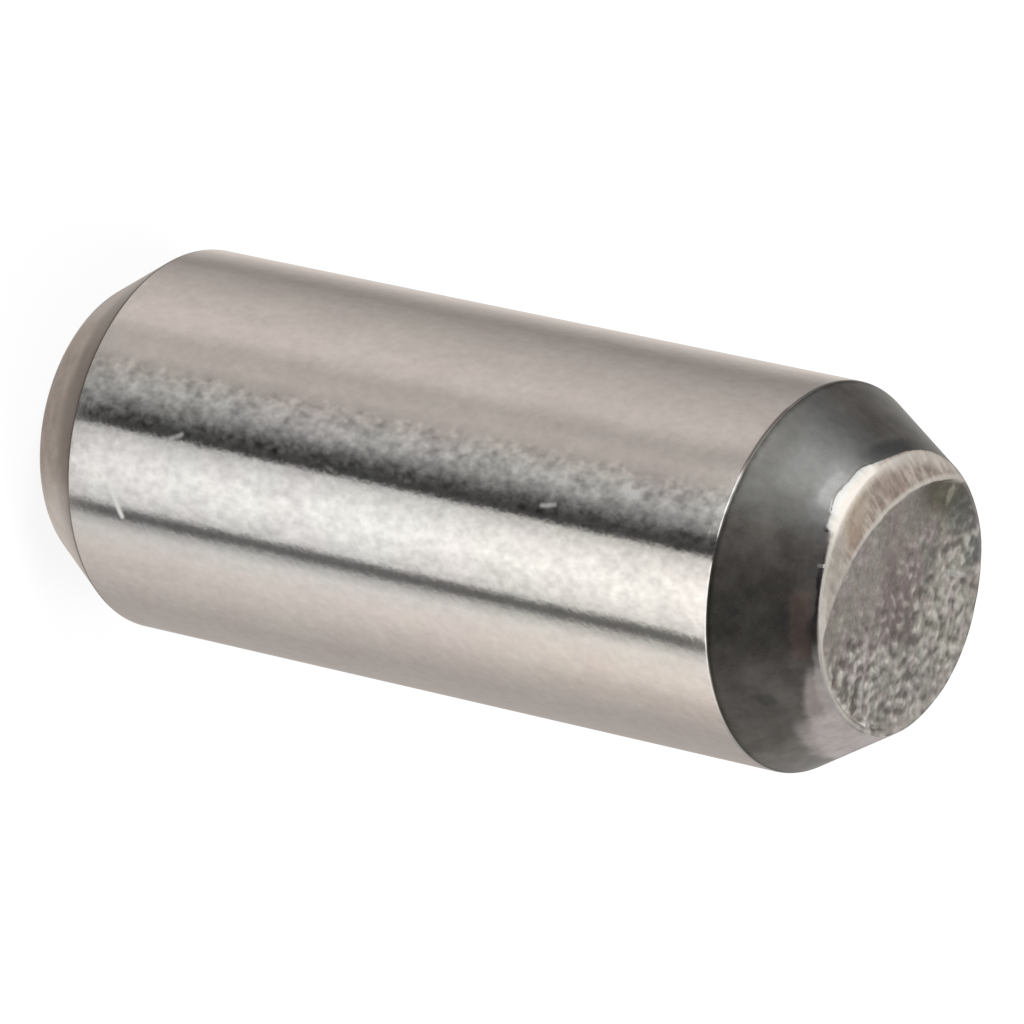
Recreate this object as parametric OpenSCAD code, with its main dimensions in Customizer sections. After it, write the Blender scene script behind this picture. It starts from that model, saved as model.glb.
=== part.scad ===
// Hardened and ground steel dowel pin, standing on its plain end.
// Z runs along the pin, and the origin is the middle of the bottom end face.
// The top end is as the bar was cropped: a smooth crescent where the shear blade cut,
// a broken face behind it, and a burr that hangs over the chamfer.

/* [Ground body] */
// Diameter of the ground body
pin_d = 10; // [8:0.5:16]
// Length over both end faces
pin_len = 24.5; // [16:0.1:60]
// Radius left by grinding where each chamfer meets the body
body_edge_r = 0.15; // [0.1:0.05:0.6]

/* [Cropped end, on top] */
// Length of the top chamfer, along the pin
top_chamfer_len = 2.45; // [1.5:0.05:3]
// Slope of the top chamfer against the pin's side, in degrees
top_chamfer_angle = 30; // [20:1:35]
// Radius of the rim round the top face
top_rim_r = 0.15; // [0.1:0.05:0.5]

/* [Plain end, at the bottom] */
// Length of the bottom chamfer, along the pin
bottom_chamfer_len = 1.95; // [1.5:0.05:3]
// Slope of the bottom chamfer against the pin's side, in degrees
bottom_chamfer_angle = 32.5; // [20:0.5:35]
// Radius of the rim round the bottom face
bottom_rim_r = 0.3; // [0.1:0.05:0.5]

/* [Shear marks] */
// Side that the shear blade came from, in degrees round the pin
blade_side = 225; // [0:1:359]
// How far the blade had cut when the rest of the bar broke off
blade_travel = 2.55; // [2:0.05:3]
// How much less the radius of the blade's round edge is than the pin's
blade_inset = 0.1; // [0:0.05:0.3]
// Slope of the cut crescent, down towards the rim, in degrees
crescent_slope = 6; // [1:0.5:8]
// How far the broken face lies below the crescent's inner edge
break_step = 0.12; // [0.04:0.01:0.2]

/* [Burr] */
// Side of the pin that the burr is on, in degrees round the pin
burr_side = 232; // [0:1:359]
// Half of the angle that the burr spans along the rim
burr_half_span = 24; // [20:1:60]
// How far the burr stands out from the chamfer at its thickest
burr_reach = 0.08; // [0.03:0.01:0.12]
// How far the burr hangs down over the chamfer
burr_drop = 0.3; // [0.2:0.05:0.5]

/* [Hidden] */
$fn = 180;
// Steps in the arc of a rounded corner
arc_steps = 5;
// Metal above the finished top, all of which the shear takes off
crop_skim = 0.01;
// A cutter reaches this far past what it cuts
past = 1;

pin_r = pin_d / 2;
top_face_r = pin_r - top_chamfer_len * tan(top_chamfer_angle);
bottom_face_r = pin_r - bottom_chamfer_len * tan(bottom_chamfer_angle);
blade_r = pin_r - blade_inset;

function unit(v) = v / norm(v);

// Points of an arc of radius r that rounds the corner between two other points
function rounded(before, corner, after, r) =
    let(
        back = unit(before - corner),
        ahead = unit(after - corner),
        half_angle = acos(back * ahead) / 2,
        centre = corner + unit(back + ahead) * r / sin(half_angle),
        start = corner + back * r / tan(half_angle) - centre,
        turn = 180 - 2 * half_angle
    )
    [for (i = [0:arc_steps])
        let(a = turn * i / arc_steps)
        centre + [start.x * cos(a) - start.y * sin(a), start.x * sin(a) + start.y * cos(a)]];

// The pin as a body of revolution, with rounded rims and edges
module turned_form() {
    bottom_middle = [0, 0];
    bottom_rim = [bottom_face_r, 0];
    bottom_edge = [pin_r, bottom_chamfer_len];
    top_edge = [pin_r, pin_len - top_chamfer_len];
    top_rim = [top_face_r, pin_len + crop_skim];
    top_middle = [0, pin_len + crop_skim];
    rotate_extrude()
        polygon(concat(
            [bottom_middle],
            rounded(bottom_middle, bottom_rim, bottom_edge, bottom_rim_r),
            rounded(bottom_rim, bottom_edge, top_edge, body_edge_r),
            rounded(bottom_edge, top_edge, top_rim, body_edge_r),
            rounded(top_edge, top_rim, top_middle, top_rim_r),
            [top_middle]
        ));
}

// The thin lip that the blade pushed over the rim: the tip of the chamfer once more,
// narrower and set off to one side, so that it stands out there and thins to nothing
module burr_lip() {
    shift = burr_reach / (1 - cos(burr_half_span));
    tip_r = top_face_r - shift * cos(burr_half_span);
    rotate(burr_side)
        translate([shift, 0, pin_len - burr_drop])
            cylinder(h = burr_drop, r1 = tip_r + burr_drop * tan(top_chamfer_angle), r2 = tip_r);
}

// What the blade and the break took off the top. Inside the blade's round edge the bar
// broke, a step below the top, and outside it the blade left a slope down to the rim.
module shear_cut() {
    outer_r = blade_r + pin_d;
    slope_fall = (outer_r - blade_r) * tan(crescent_slope);
    rotate(blade_side)
        translate([-blade_travel, 0, pin_len])
            rotate_extrude()
                polygon([
                    [0, -break_step],
                    [blade_r, -break_step],
                    [blade_r, 0],
                    [outer_r, -slope_fall],
                    [outer_r, past],
                    [0, past]
                ]);
}

module dowel_pin() {
    color([0.73, 0.71, 0.69])
        difference() {
            union() {
                turned_form();
                burr_lip();
            }
            shear_cut();
        }
}

dowel_pin();
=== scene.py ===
"""Dressed model of a hardened and ground steel dowel pin, standing on its plain end.

The pin is one piece. Its body is ground bright, its chamfers are dark from hardening, and its
top end is as the bar was cropped: a smooth crescent that the shear blade cut, a broken face
behind it, and a burr that hangs over the chamfer. Sizes are in millimetres until the finished
mesh is shrunk to metres.
"""

import logging
import math
from collections.abc import Callable, Iterable, Sequence
from dataclasses import dataclass, field, replace
from enum import Enum
from itertools import pairwise
from typing import Any

import bpy
from mathutils import Matrix, Vector, noise

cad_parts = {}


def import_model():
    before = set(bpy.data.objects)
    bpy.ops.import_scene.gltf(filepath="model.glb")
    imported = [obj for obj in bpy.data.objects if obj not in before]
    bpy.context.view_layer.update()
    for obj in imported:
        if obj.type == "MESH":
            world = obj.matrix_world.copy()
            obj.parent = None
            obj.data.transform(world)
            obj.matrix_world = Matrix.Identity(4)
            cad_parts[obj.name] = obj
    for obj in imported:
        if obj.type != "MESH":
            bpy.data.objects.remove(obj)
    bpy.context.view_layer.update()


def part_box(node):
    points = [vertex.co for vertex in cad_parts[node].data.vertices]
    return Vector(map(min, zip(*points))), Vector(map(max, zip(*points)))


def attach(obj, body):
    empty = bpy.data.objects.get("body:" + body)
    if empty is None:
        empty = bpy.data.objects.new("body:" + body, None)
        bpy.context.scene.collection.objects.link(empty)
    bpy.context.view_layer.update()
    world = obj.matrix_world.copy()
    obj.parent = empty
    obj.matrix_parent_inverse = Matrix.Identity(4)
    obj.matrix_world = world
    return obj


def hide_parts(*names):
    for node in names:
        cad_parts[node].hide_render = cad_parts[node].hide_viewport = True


LOG = logging.getLogger("dowel_pin")
MM = 0.001
PER_MM = 1000.0
# Direction in which the blade dragged the metal, in degrees round the pin
DRAG_SIDE = 56.0
# Colour of the scale along a ground edge
BROWN = (0.09, 0.065, 0.045)
Colour = tuple[float, float, float]
Socket = bpy.types.NodeSocket


class Zone(Enum):
    """Stretch of the pin's surface, with the place of its finish in the mesh's slots."""

    BODY = 0
    CHAMFER = 1
    FAR_CHAMFER = 2
    PLAIN_END = 3
    CROPPED_END = 4


def smooth_step(low: float, high: float, value: float) -> float:
    """Go from 0 at low to 1 at high, with no kink at either end. High may be the lesser."""
    t = min(max((value - low) / (high - low), 0.0), 1.0)
    return t * t * (3.0 - 2.0 * t)


def side_of(x: float, y: float) -> float:
    """Degrees round the pin from +X, towards +Y."""
    return math.degrees(math.atan2(y, x)) % 360


@dataclass(frozen=True)
class Stretch:
    """A stretch round the pin that fades out to both sides.

    Attributes:
        middle: Side of the pin in its middle, in degrees.
        half: Degrees from there to where it has faded out.
    """

    middle: float
    half: float

    def share(self, side: float) -> float:
        """1 at the middle, falling smoothly to 0 where the stretch has faded out."""
        off = abs((side - self.middle + 180.0) % 360.0 - 180.0)
        return 1.0 - smooth_step(0.35 * self.half, self.half, off)


class Wiring:
    """A node tree that is built by calls, each of which adds a node or a few."""

    def __init__(self, tree: bpy.types.NodeTree) -> None:
        """Empty the tree and keep it."""
        self.tree = tree
        tree.nodes.clear()

    def node(self, kind: str, sockets: dict[Any, Any] | None = None, **settings: Any) -> bpy.types.Node:
        """Add a node.

        Args:
            kind: The node's type, such as ShaderNodeMath.
            sockets: Value or output for each input, by name or place.
            **settings: The node's own properties.

        Returns:
            The new node.
        """
        made = self.tree.nodes.new(kind)
        for name, value in settings.items():
            setattr(made, name, value)
        for key, value in (sockets or {}).items():
            if isinstance(value, Socket):
                self.tree.links.new(value, made.inputs[key])
            else:
                made.inputs[key].default_value = value
        return made

    def math(self, operation: str, a: Any, b: Any = 0.0, clamp: bool = False) -> Socket:
        """Output of a Math node on a and b."""
        made = self.node("ShaderNodeMath", {0: a, 1: b}, operation=operation, use_clamp=clamp)
        return made.outputs[0]

    def plus(self, a: Any, b: Any) -> Socket:
        """The sum of a and b."""
        return self.math("ADD", a, b)

    def minus(self, a: Any, b: Any) -> Socket:
        """What is left of a when b is taken off."""
        return self.math("SUBTRACT", a, b)

    def times(self, a: Any, b: Any) -> Socket:
        """The product of a and b."""
        return self.math("MULTIPLY", a, b)

    def band(self, value: Any, low: float, high: float, soft: float) -> Socket:
        """1 between low and high, fading to 0 over soft on each side."""
        rise = self.fade(value, low - soft, low)
        fall = self.fade(value, high, high + soft)
        return self.math("SUBTRACT", rise, fall, clamp=True)

    def bands(self, value: Any, rows: Iterable[Sequence[float]], soft: float, rest: float = 0.0) -> Any:
        """Rest, and more by a row's third number where the value lies between its first two."""
        total: Any = rest
        for low, high, strength in rows:
            total = self.plus(total, self.times(self.band(value, low, high, soft), strength))
        return total

    def fade(self, value: Any, low: float, high: float) -> Socket:
        """0 below low and 1 above high, with a smooth rise between."""
        sockets = {"Value": value, "From Min": low, "From Max": high}
        return self.node("ShaderNodeMapRange", sockets, interpolation_type="SMOOTHSTEP").outputs["Result"]

    def noise(self, where: Any, size_mm: float, detail: float = 2.0, rough: float = 0.5) -> Socket:
        """Noise from 0 to 1 whose grains are about size_mm across."""
        sockets = {"Vector": where, "Scale": 1.0 / size_mm, "Detail": detail, "Roughness": rough}
        return self.node("ShaderNodeTexNoise", sockets).outputs["Fac"]

    def mix(self, factor: Any, a: Any, b: Any, blend: str = "MIX") -> Socket:
        """Colour b over colour a by factor."""
        made = self.node("ShaderNodeMix", data_type="RGBA", blend_type=blend)
        for name, value in (("Factor", factor), ("A", a), ("B", b)):
            inputs = [s for s in made.inputs if s.name == name and s.enabled]
            if isinstance(value, Socket):
                self.tree.links.new(value, inputs[0])
            elif name == "Factor":
                inputs[0].default_value = value
            else:
                inputs[0].default_value = (*value, 1.0)
        return next(s for s in made.outputs if s.enabled)

    def ramp(self, factor: Any, stops: Sequence[tuple[float, Colour]]) -> Socket:
        """Colour along straight lines between stops, each a place from 0 to 1 and a colour."""
        made = self.node("ShaderNodeValToRGB", {"Fac": factor})
        elements = made.color_ramp.elements
        while len(elements) < len(stops):
            elements.new(0.5)
        for element, (place, colour) in zip(elements, sorted(stops), strict=True):
            element.position = place
            element.color = (*colour, 1.0)
        return made.outputs["Color"]

    def vector(self, operation: str, a: Any, b: Any) -> Socket:
        """Vector output of a Vector Math node on a and b."""
        return self.node("ShaderNodeVectorMath", {0: a, 1: b}, operation=operation).outputs[0]

    def scaled(self, vector: Any, factor: Any) -> Socket:
        """A vector or colour times a number."""
        made = self.node("ShaderNodeVectorMath", {0: vector, "Scale": factor}, operation="SCALE")
        return made.outputs[0]

    def length(self, vector: Any) -> Socket:
        """How long a vector is."""
        return self.node("ShaderNodeVectorMath", {0: vector}, operation="LENGTH").outputs["Value"]

    def reach(self, where: Any, centre: Sequence[float], size: Sequence[float]) -> Socket:
        """Distance from centre, as a share of an ellipsoid whose half axes are size."""
        return self.length(self.vector("DIVIDE", self.vector("SUBTRACT", where, centre), size))

    def warp(self, where: Any, size_mm: float, amount: float) -> Socket:
        """The same point, pushed about by noise so that what follows it gets ragged edges."""
        sockets = {"Vector": where, "Scale": 1.0 / size_mm, "Detail": 3.0, "Roughness": 0.6}
        push = self.node("ShaderNodeTexNoise", sockets).outputs["Color"]
        centred = self.vector("SUBTRACT", push, (0.5, 0.5, 0.5))
        return self.vector("ADD", where, self.scaled(centred, amount))

    def attribute(self, name: str) -> Socket:
        """A number that the mesh carries at its points."""
        return self.node("ShaderNodeAttribute", attribute_name=name).outputs["Fac"]

    def metal(self, tone: Any, rough: Any, height: Any, depth_mm: float) -> None:
        """End the tree in a metal.

        Args:
            tone: Colour of the metal.
            rough: Its roughness.
            height: Fine relief from 0 to 1.
            depth_mm: How deep that relief is.
        """
        bump = self.node("ShaderNodeBump", {"Height": height, "Strength": 1.0, "Distance": depth_mm * MM})
        sockets = {"Base Color": tone, "Metallic": 1.0, "Roughness": rough, "Normal": bump.outputs[0]}
        shader = self.node("ShaderNodeBsdfPrincipled", sockets)
        self.node("ShaderNodeOutputMaterial", {"Surface": shader.outputs[0]})

    def parts(self, vector: Any) -> bpy.types.bpy_prop_collection:
        """The X, Y and Z of a vector."""
        return self.node("ShaderNodeSeparateXYZ", {0: vector}).outputs

    def bearing(self, where: Any) -> Socket:
        """Degrees round the pin from the camera's side, towards +X."""
        parts = self.parts(where)
        return self.math("DEGREES", self.math("ARCTAN2", parts["X"], self.times(parts["Y"], -1.0)))

    def brighten(self, tone: Any, share: Any, strength: Any = 1.0) -> Socket:
        """The colour times 1 plus share times strength."""
        gain = self.node("ShaderNodeMath", {0: share, 1: strength, 2: 1.0}, operation="MULTIPLY_ADD")
        return self.scaled(tone, gain.outputs[0])

    def place_mm(self) -> Socket:
        """The point on the piece, in millimetres in the pin's own frame."""
        return self.scaled(self.node("ShaderNodeTexCoord").outputs["Object"], PER_MM)


def new_material(name: str) -> tuple[bpy.types.Material, Wiring]:
    """An empty material with nodes, and its wiring."""
    made = bpy.data.materials.new(name)
    made.use_nodes = True
    return made, Wiring(made.node_tree)


@dataclass(frozen=True)
class Mark:
    """A round patch of other colour on the end face, with a ragged edge; some are the metal's own colour,
    others painted highlight and painted shade.

    Attributes:
        centre: Its middle on the end face, in millimetres.
        size: Its half axes, in millimetres.
        tone: Its colour.
        strength: How much of that colour shows in its middle.
        soft: Width of its fading edge, as a share of its size.
    """

    centre: tuple[float, float]
    size: tuple[float, float]
    tone: Colour
    strength: float
    soft: float = 0.4

    def paint(self, wires: Wiring, where: Any, tone: Any) -> Socket:
        """Lay the patch over a colour."""
        flat = wires.vector("MULTIPLY", where, (1.0, 1.0, 0.0))
        reach = wires.reach(flat, (*self.centre, 0.0), (*self.size, 1.0))
        cover = wires.minus(1.0, wires.fade(reach, 1.0 - self.soft, 1.0 + self.soft))
        return wires.mix(wires.times(cover, self.strength), tone, self.tone)


@dataclass(frozen=True)
class Patch:
    """A patch of other colour, between two bearings and two heights; some are the metal's own colour,
    others painted highlight and painted shade.

    Attributes:
        bearings: Degrees round the pin from the camera's side, towards +X.
        heights: Heights along the pin, in millimetres.
        tone: Its colour.
        strength: How much of that colour shows.
        soft: Width of its fading edges, in degrees and in millimetres.
        lean: How much higher it lies with each degree.
        rougher: How much rougher it is than the rest.
    """

    bearings: tuple[float, float]
    heights: tuple[float, float]
    tone: Colour
    strength: float
    soft: tuple[float, float] = (4.0, 0.1)
    lean: float = 0.0
    rougher: float = 0.0

    def cover(self, wires: Wiring, bearing: Any, height: Any) -> Socket:
        """How much of the patch shows at a bearing and height."""
        across = wires.band(bearing, *self.bearings, self.soft[0])
        middle = sum(self.bearings) / 2
        rise = wires.times(wires.minus(bearing, middle), self.lean)
        along = wires.band(wires.minus(height, rise), *self.heights, self.soft[1])
        return wires.times(wires.times(across, along), self.strength)

    def raised(self, rise: float) -> "Patch":
        """The same patch, higher up the pin."""
        return replace(self, heights=tuple(height + rise for height in self.heights))


def on_body(bearing: float, height: float, radius: float = 5.0) -> tuple[float, float, float]:
    """The point of the ground body at a bearing from the camera's side and a height."""
    side = math.radians(bearing)
    return (radius * math.sin(side), -radius * math.cos(side), height)


@dataclass(frozen=True)
class Scratch:
    """A straight bright scratch between two points of the ground body.

    Attributes:
        start: One end, in millimetres.
        end: The other end.
        width: How wide it is.
        strength: How much of the bright colour shows.
    """

    start: tuple[float, float, float]
    end: tuple[float, float, float]
    width: float
    strength: float

    def cover(self, wires: Wiring, where: Any) -> Socket:
        """1 in the middle of the scratch, fading to 0 off it."""
        along = Vector(self.end) - Vector(self.start)
        offset = wires.vector("SUBTRACT", where, self.start)
        dot = wires.node("ShaderNodeVectorMath", {0: offset, 1: along}, operation="DOT_PRODUCT")
        share = wires.math("DIVIDE", dot.outputs["Value"], along.length_squared, clamp=True)
        gap = wires.vector("SUBTRACT", offset, wires.scaled(along, share))
        return wires.minus(1.0, wires.fade(wires.length(gap), 0.0, self.width * 0.75))


@dataclass(frozen=True)
class GroundSteel:
    """Bright cylindrical grinding: fine pits, a faint film, dusty flecks and a few scratches, with painted
    light on its reflections.

    Attributes:
        tone: Colour of the clean metal.
        film: Colour where a thin film tints it.
        bright: Colour of a scratch.
        roughness: Roughness between the pits.
        grain_mm: Size of the ground surface's pits.
        grain_share: How much of the relief is pits, the rest being slow waves.
        relief_mm: Height from pit to crest.
        wave_mm: Size of the slow waves.
        film_mm: Size of the film's patches.
        fleck_mm: Size of the finest flecks.
        clump_mm: Size of the clumps that they gather in.
        fleck_share: How strongly the metal is flecked everywhere.
        flecked: Bearings, and how strongly the metal is flecked between them.
        painted_light_drift: Bearings, and painted light between them: how much brighter the reflections
            are painted on the way up, darker where it is below 0.
        drift_from: Height at which that painted light is nothing.
        drift_over: Height over which it grows to its full strength.
        painted_warm_tint: Painted warm tint of the bright reflected band, towards its top.
        cream_heights: Heights between which that tint sets in.
        cream_bearings: Bearings between which it shows.
        patches: Patches of other colour at the body's edges.
        scratches: Scratches that show.
    """

    tone: Colour = (0.745, 0.735, 0.715)
    film: Colour = (0.735, 0.705, 0.700)
    bright: Colour = (0.93, 0.92, 0.90)
    roughness: float = 0.095
    grain_mm: float = 0.14
    grain_share: float = 0.35
    relief_mm: float = 0.0038
    wave_mm: float = 0.5
    film_mm: float = 2.2
    fleck_mm: float = 0.20
    clump_mm: float = 0.50
    fleck_share: float = 0.20
    flecked: tuple[tuple[float, float, float], ...] = (
        (-17.0, -3.5, 0.92), (-3.5, -1.5, 1.1), (3.0, 24.0, 0.28),
    )
    painted_light_drift: tuple[tuple[float, float, float], ...] = (
        (2.0, 44.0, 0.10), (-60.0, -28.0, -0.055), (-17.0, -5.0, 0.06),
    )
    drift_from: float = 12.0
    drift_over: float = 10.0
    painted_warm_tint: Colour = (1.0, 0.98, 0.945)
    cream_heights: tuple[float, float] = (9.0, 21.0)
    cream_bearings: tuple[float, float] = (2.0, 50.0)
    patches: tuple[Patch, ...] = ()
    scratches: tuple[Scratch, ...] = (
        Scratch(on_body(18.6, 3.34), on_body(27.3, 3.70), 0.17, 0.95),
        Scratch(on_body(1.2, 5.08), on_body(-1.0, 5.42), 0.16, 0.5),
        Scratch(on_body(-6.0, 5.55), on_body(-3.6, 5.62), 0.10, 0.22),
        Scratch(on_body(-3.0, 16.72), on_body(-3.9, 17.10), 0.17, 0.6),
        Scratch(on_body(-2.6, 4.20), on_body(-2.2, 4.36), 0.14, 0.2),
        Scratch(on_body(-0.8, 10.05), on_body(-0.2, 10.22), 0.14, 0.22),
        Scratch(on_body(-1.6, 12.52), on_body(-1.9, 12.66), 0.14, 0.22),
        Scratch(on_body(-2.2, 8.52), on_body(-2.4, 8.66), 0.16, 0.2),
    )

    def material(self) -> bpy.types.Material:
        """Build the finish."""
        made, wires = new_material("ground_steel")
        where = wires.place_mm()
        height = wires.parts(where)["Z"]
        along_pin = wires.vector("MULTIPLY", where, (1.0, 1.0, 0.75))
        bearing = wires.bearing(wires.warp(along_pin, 0.5, 0.7))
        grain = wires.noise(where, self.grain_mm, 1.5)
        wave = wires.noise(along_pin, self.wave_mm)
        pits = wires.times(grain, self.grain_share)
        relief = wires.plus(pits, wires.times(wave, 1.0 - self.grain_share))
        film = wires.noise(where, self.film_mm, 3.0, 0.55)
        tone = wires.mix(wires.fade(film, 0.35, 0.65), self.tone, self.film)
        fine = wires.minus(wires.noise(along_pin, self.fleck_mm, 1.0), 0.5)
        clump = wires.minus(wires.noise(along_pin, self.clump_mm, 2.0, 0.6), 0.5)
        fleck = wires.plus(fine, wires.times(clump, 0.8))
        tone = wires.brighten(tone, fleck, wires.bands(bearing, self.flecked, 3.5, self.fleck_share))
        # Painted light: in some bands of bearing the reflections are painted brighter going up, and in one
        # band darker.
        climb = wires.math("DIVIDE", wires.minus(height, self.drift_from), self.drift_over)
        tone = wires.brighten(tone, wires.bands(wires.bearing(where), self.painted_light_drift, 6.0), climb)
        # Painted light: the bright reflected band is tinted warm towards the top.
        risen = wires.fade(height, *self.cream_heights)
        warm_tint_share = wires.times(risen, wires.band(bearing, *self.cream_bearings, 8.0))
        tone = wires.mix(warm_tint_share, tone, self.painted_warm_tint, "MULTIPLY")
        rough = wires.plus(wires.times(grain, 0.06), self.roughness - 0.03)
        for patch in self.patches:
            tone = wires.mix(patch.cover(wires, bearing, height), tone, patch.tone)
        for scratch in self.scratches:
            cover = wires.times(scratch.cover(wires, where), scratch.strength)
            tone = wires.mix(cover, tone, self.bright)
            rough = wires.plus(rough, wires.times(cover, 0.35))
        wires.metal(tone, rough, relief, self.relief_mm)
        return made


@dataclass(frozen=True)
class HardenedSteel:
    """Chamfer that was never ground, dark and blotchy from hardening, with painted highlights and painted
    shade in some of its patches.

    Attributes:
        name: Name of the material.
        tone: Usual colour.
        pale: Colour where the scale has worn thin.
        edge_tone: Colour along the ground body.
        edge_heights: Heights of the body's two edges, in millimetres.
        edge_width: How far the edge colour reaches along the pin.
        edge_share: How much of the edge colour shows.
        roughness: Mean roughness.
        blotch_mm: Size of the blotches.
        speck_mm: Size of the finest specks.
        streak_mm: Width of the streaks that run up the chamfer.
        patches: Patches of other colour, some of them painted highlights and painted shade.
        bare: Colour where the burr has bared the metal, which also carries the lip's painted highlight.
        bare_roughness: Roughness there.
    """

    name: str
    tone: Colour
    pale: Colour
    edge_tone: Colour
    edge_heights: tuple[float, float]
    edge_width: float = 0.16
    edge_share: float = 0.70
    roughness: float = 0.28
    blotch_mm: float = 0.8
    speck_mm: float = 0.16
    streak_mm: float = 0.22
    patches: tuple[Patch, ...] = ()
    bare: Colour = (0.91, 0.90, 0.875)
    bare_roughness: float = 0.36

    def material(self) -> bpy.types.Material:
        """Build the finish."""
        made, wires = new_material(self.name)
        where = wires.place_mm()
        blotch = wires.noise(where, self.blotch_mm, 4.0, 0.65)
        speck = wires.noise(where, self.speck_mm)
        ragged = wires.warp(where, 0.6, 0.30)
        bearing = wires.bearing(ragged)
        height = wires.parts(ragged)["Z"]
        tone = wires.mix(wires.fade(blotch, 0.35, 0.7), self.tone, self.pale)
        rough = wires.plus(wires.times(blotch, 0.14), self.roughness - 0.07)
        for patch in self.patches:
            cover = patch.cover(wires, bearing, height)
            tone = wires.mix(cover, tone, patch.tone)
            rough = wires.plus(rough, wires.times(cover, patch.rougher))
        upright = wires.vector("MULTIPLY", where, (1.0, 1.0, 0.15))
        streak = wires.noise(upright, self.streak_mm, 3.0, 0.6)
        mottle = wires.minus(wires.plus(blotch, wires.times(streak, 0.5)), 0.75)
        tone = wires.brighten(tone, mottle, 0.55)
        tone = wires.brighten(tone, wires.minus(speck, 0.5), 0.16)
        edge = wires.times(self.edge(wires, where), self.edge_share)
        tone = wires.mix(edge, tone, self.edge_tone)
        # The bare colour also carries the painted highlight on the burr's lip.
        bare_and_highlight = wires.attribute("bare")
        tone = wires.mix(bare_and_highlight, tone, self.bare)
        rough = wires.plus(rough, wires.times(bare_and_highlight, wires.minus(self.bare_roughness, rough)))
        wires.metal(tone, rough, speck, 0.0008)
        return made

    def edge(self, wires: Wiring, where: Any) -> Socket:
        """1 at the ground body, fading to 0 up to the edge's width away from it."""
        height = wires.parts(wires.warp(where, 0.5, 0.16))["Z"]
        low, high = self.edge_heights
        beyond = wires.math("MAXIMUM", wires.minus(low, height), wires.minus(height, high))
        return wires.minus(1.0, wires.fade(beyond, 0.0, self.edge_width))


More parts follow.
